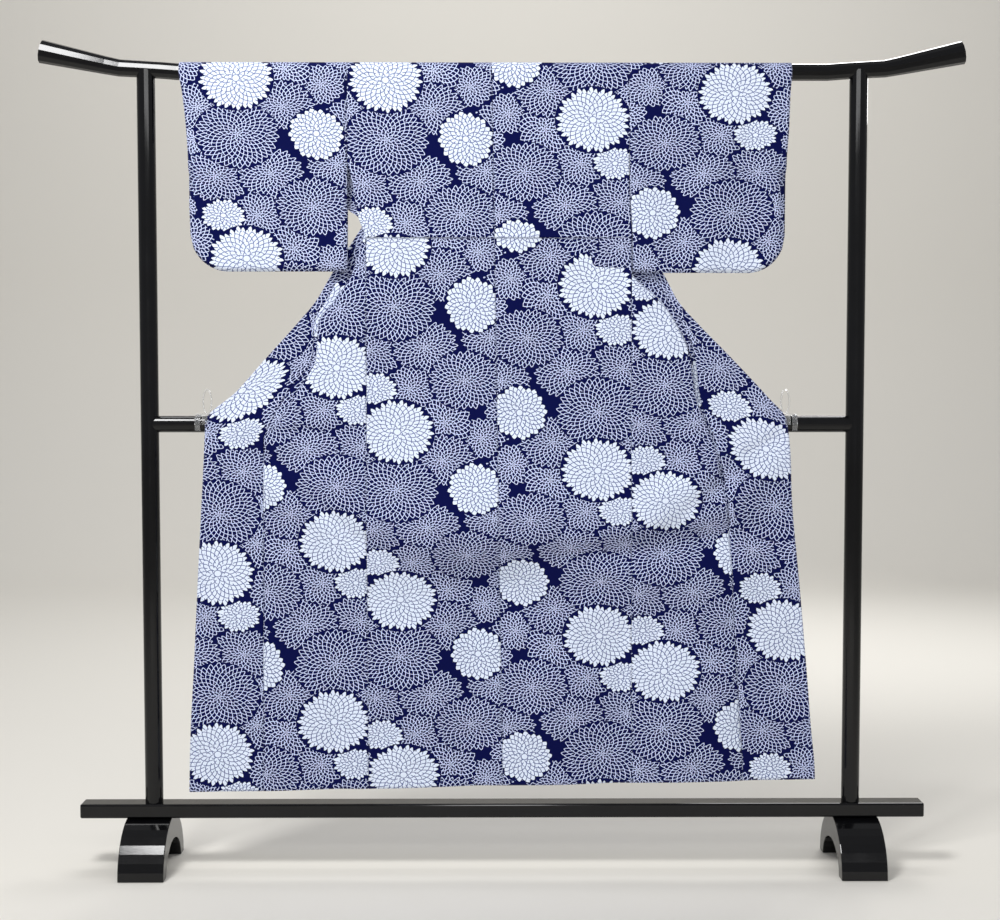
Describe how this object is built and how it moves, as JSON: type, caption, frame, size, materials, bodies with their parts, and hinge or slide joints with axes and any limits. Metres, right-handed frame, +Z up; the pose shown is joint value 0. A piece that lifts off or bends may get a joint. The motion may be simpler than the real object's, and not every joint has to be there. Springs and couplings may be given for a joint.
{
  "type": "cotton yukata robe on kimono rack",
  "caption": "Cotton yukata with a chrysanthemum pattern, hung by its shoulders over a lacquered kimono rack, fronts spread and clipped to the rail.",
  "frame": {"origin": "on the floor, under the middle of the part's bounding box", "axes": "+Z up; +X along the rack to the viewer's right; +Y away from the viewer, so the robe's back faces -Y"},
  "size_m": [1.936, 0.2356, 1.7501],
  "materials": {
    "cotton": "matt plain-woven cotton, resist-dyed navy and white",
    "lacquer": "gloss black lacquer on turned and planed wood",
    "clear_plastic": "clear moulded plastic"
  },
  "bodies": {
    "root": {"body_left": "cotton", "body_right": "cotton", "okumi_left": "cotton", "okumi_right": "cotton", "sleeve_left": "cotton", "sleeve_right": "cotton", "collar": "cotton", "top_bar": "lacquer", "middle_rail": "lacquer", "post_left": "lacquer", "post_right": "lacquer", "base_board": "lacquer", "foot_left": "lacquer", "foot_right": "lacquer", "clip_left": "clear_plastic", "clip_right": "clear_plastic"}
  },
  "joints": []
}
